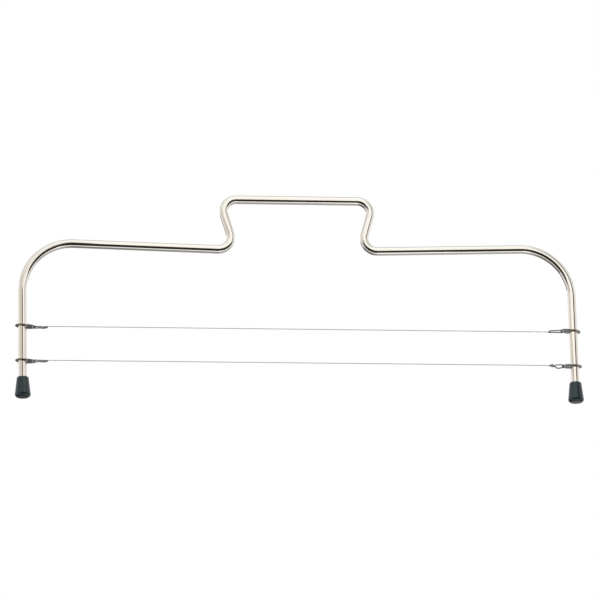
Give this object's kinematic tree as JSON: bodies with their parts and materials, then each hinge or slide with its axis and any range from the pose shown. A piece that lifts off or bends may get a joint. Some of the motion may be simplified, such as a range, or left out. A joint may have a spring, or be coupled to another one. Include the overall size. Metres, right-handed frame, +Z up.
{
  "type": "cake leveler",
  "caption": "Bow-shaped cake leveler: a bent steel rod with a raised grip and rubber feet, strung with thin cutting wires that slide along its notched legs.",
  "frame": {"origin": "on the ground, midway between the feet, below the hand grip", "axes": "+Z up, +X along the width from the left foot to the right foot, -Y towards the front"},
  "size_m": [0.3294, 0.009, 0.124],
  "materials": {
    "rod_steel": "polished nickel-plated steel",
    "lug_steel": "stamped steel, dull",
    "tie_steel": "drawn steel wire, dull",
    "wire_steel": "fine stranded stainless wire",
    "foot_rubber": "moulded black rubber"
  },
  "bodies": {
    "frame": {"frame_rod": "rod_steel", "left_foot": "foot_rubber", "right_foot": "foot_rubber"},
    "lower_left_slider": {"lower_left_lug": "lug_steel"},
    "lower_wire": {"lower_cutting_wire": "wire_steel", "lower_left_tie": "tie_steel", "lower_right_tie": "tie_steel"},
    "lower_right_slider": {"lower_right_lug": "lug_steel"},
    "upper_left_slider": {"upper_left_lug": "lug_steel"},
    "upper_wire": {"upper_cutting_wire": "wire_steel", "upper_left_tie": "tie_steel", "upper_right_tie": "tie_steel"},
    "upper_right_slider": {"upper_right_lug": "lug_steel"}
  },
  "joints": [
    {"name": "lower_left_slide", "type": "slide", "parent": "frame", "child": "lower_left_slider", "axis": [0, 0, 1], "range_m": [-0.00255, 0.0051]},
    {"name": "lower_wire_tilt", "type": "hinge", "parent": "lower_left_slider", "child": "lower_wire", "pos_m": [-0.153, 0, 0.0223], "axis": [0, -1, 0], "range_deg": [-0.477, 0.477]},
    {"name": "lower_right_level", "type": "hinge", "parent": "lower_wire", "child": "lower_right_slider", "pos_m": [0.153, 0, 0.0223], "axis": [0, -1, 0], "range_deg": [-0.5, 0.5]},
    {"name": "upper_left_slide", "type": "slide", "parent": "frame", "child": "upper_left_slider", "axis": [0, 0, 1], "range_m": [-0.0051, 0.01785]},
    {"name": "upper_wire_tilt", "type": "hinge", "parent": "upper_left_slider", "child": "upper_wire", "pos_m": [-0.153, 0, 0.0427], "axis": [0, -1, 0], "range_deg": [-0.477, 0.477]},
    {"name": "upper_right_level", "type": "hinge", "parent": "upper_wire", "child": "upper_right_slider", "pos_m": [0.153, 0, 0.0427], "axis": [0, -1, 0], "range_deg": [-0.5, 0.5]}
  ],
  "couplings": [
    {"joint": "lower_right_level", "follows": "lower_wire_tilt", "ratio": -1},
    {"joint": "upper_right_level", "follows": "upper_wire_tilt", "ratio": -1}
  ]
}
